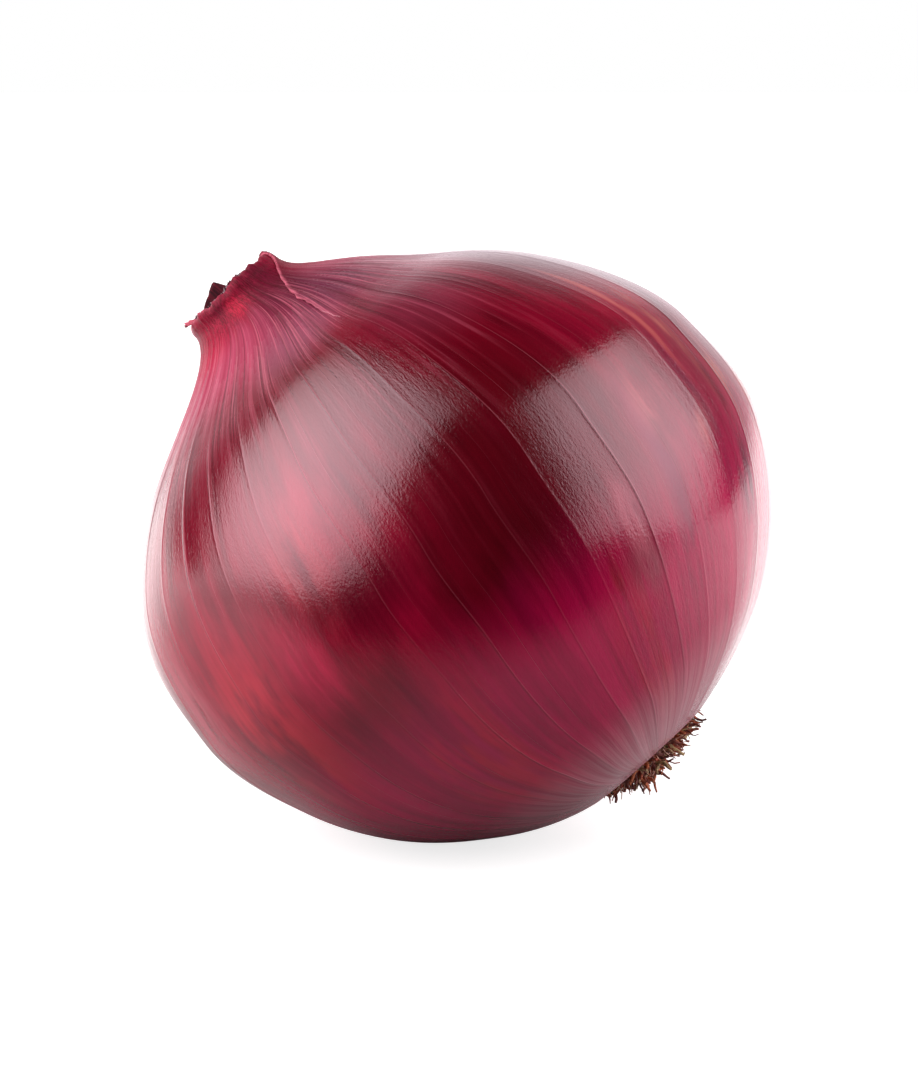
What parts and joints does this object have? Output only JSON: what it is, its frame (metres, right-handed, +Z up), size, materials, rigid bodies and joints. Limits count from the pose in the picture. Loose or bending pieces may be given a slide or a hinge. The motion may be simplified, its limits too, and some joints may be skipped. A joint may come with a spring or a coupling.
{
  "type": "red onion",
  "caption": "Whole red onion with glossy ribbed skin, a torn dry neck and a tuft of dry roots, lying on its side.",
  "frame": {"origin": "on the surface the onion lies on, straight below the bulb's centre, in the small flat spot it rests on", "axes": "+Z up; the bulb's axis runs from the roots, low on the +X side, to the neck, high on the -X side, and the pictured side faces -Y"},
  "size_m": [0.0768, 0.0777, 0.0714],
  "materials": {
    "onion_skin": "smooth glossy dark red onion skin with pink and rust streaks along the veins",
    "dried_leaf": "matt papery dried leaf, dark purple brown",
    "dry_root": "matt dry root, rust brown with straw and black"
  },
  "bodies": {
    "root": {"bulb": "onion_skin", "neck_leaf_ends": "dried_leaf", "root_tuft": "dry_root"}
  },
  "joints": []
}
